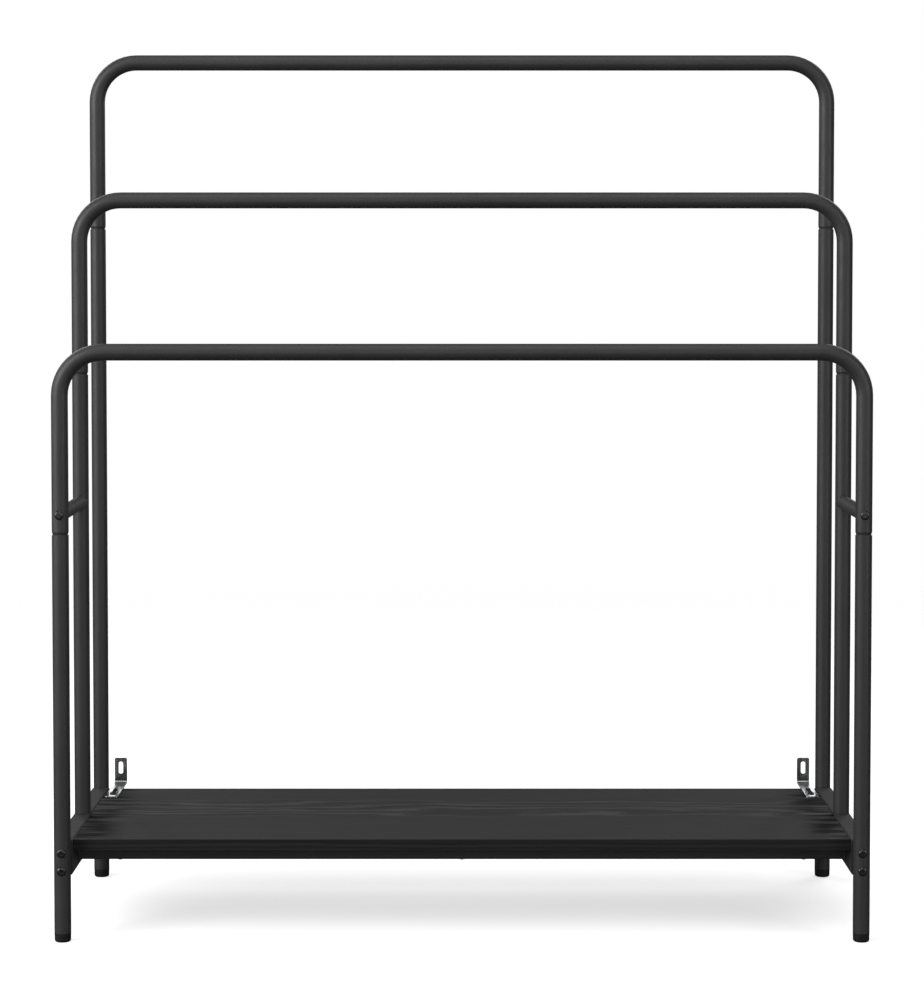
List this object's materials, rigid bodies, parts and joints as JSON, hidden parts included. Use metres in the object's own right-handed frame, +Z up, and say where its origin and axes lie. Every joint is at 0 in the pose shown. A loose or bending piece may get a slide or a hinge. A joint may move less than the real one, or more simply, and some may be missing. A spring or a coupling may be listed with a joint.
{
  "type": "firewood rack",
  "caption": "Firewood rack of black round tube: three stepped hoops, front to back, over a low wood-grain shelf, with feet and slotted wall brackets.",
  "frame": {"origin": "on the floor, under the middle of the whole object's width and depth", "axes": "+X to the right seen from the front, +Y to the back (the tallest hoop and the wall brackets), +Z up"},
  "size_m": [0.9014, 0.3656, 1],
  "materials": {
    "frame_paint": "black powder coat, satin, with a very fine even texture",
    "shelf_laminate": "engineered board with a black wood-grain face",
    "edge_band": "thin black wood-grain edge band",
    "foot_plastic": "black moulded plastic",
    "bright_zinc": "bright zinc plate on pressed steel",
    "black_screw": "black plated screws, slightly glossy",
    "bare_steel": "plain steel, hidden inside the tubes"
  },
  "bodies": {
    "root": {"front_upper_hoop": "frame_paint", "middle_upper_hoop": "frame_paint", "back_upper_hoop": "frame_paint", "front_left_leg": "frame_paint", "front_left_foot_cap": "foot_plastic", "back_left_leg": "frame_paint", "back_left_foot_cap": "foot_plastic", "middle_left_post": "frame_paint", "left_side_rail": "frame_paint", "left_rail_end_plates": "frame_paint", "left_upper_tie": "frame_paint", "left_wall_bracket": "bright_zinc", "front_right_leg": "frame_paint", "front_right_foot_cap": "foot_plastic", "back_right_leg": "frame_paint", "back_right_foot_cap": "foot_plastic", "middle_right_post": "frame_paint", "right_side_rail": "frame_paint", "right_rail_end_plates": "frame_paint", "right_upper_tie": "frame_paint", "right_wall_bracket": "bright_zinc", "front_cross_beam": "frame_paint", "back_cross_beam": "frame_paint", "shelf_board": "shelf_laminate", "shelf_edge_bands": "edge_band", "tie_inserts": "bare_steel", "post_inserts": "bare_steel", "leg_rail_screws": "black_screw", "tie_screws": "black_screw", "post_screws": "black_screw", "shelf_screws": "black_screw", "bracket_screws": "black_screw"}
  },
  "joints": []
}
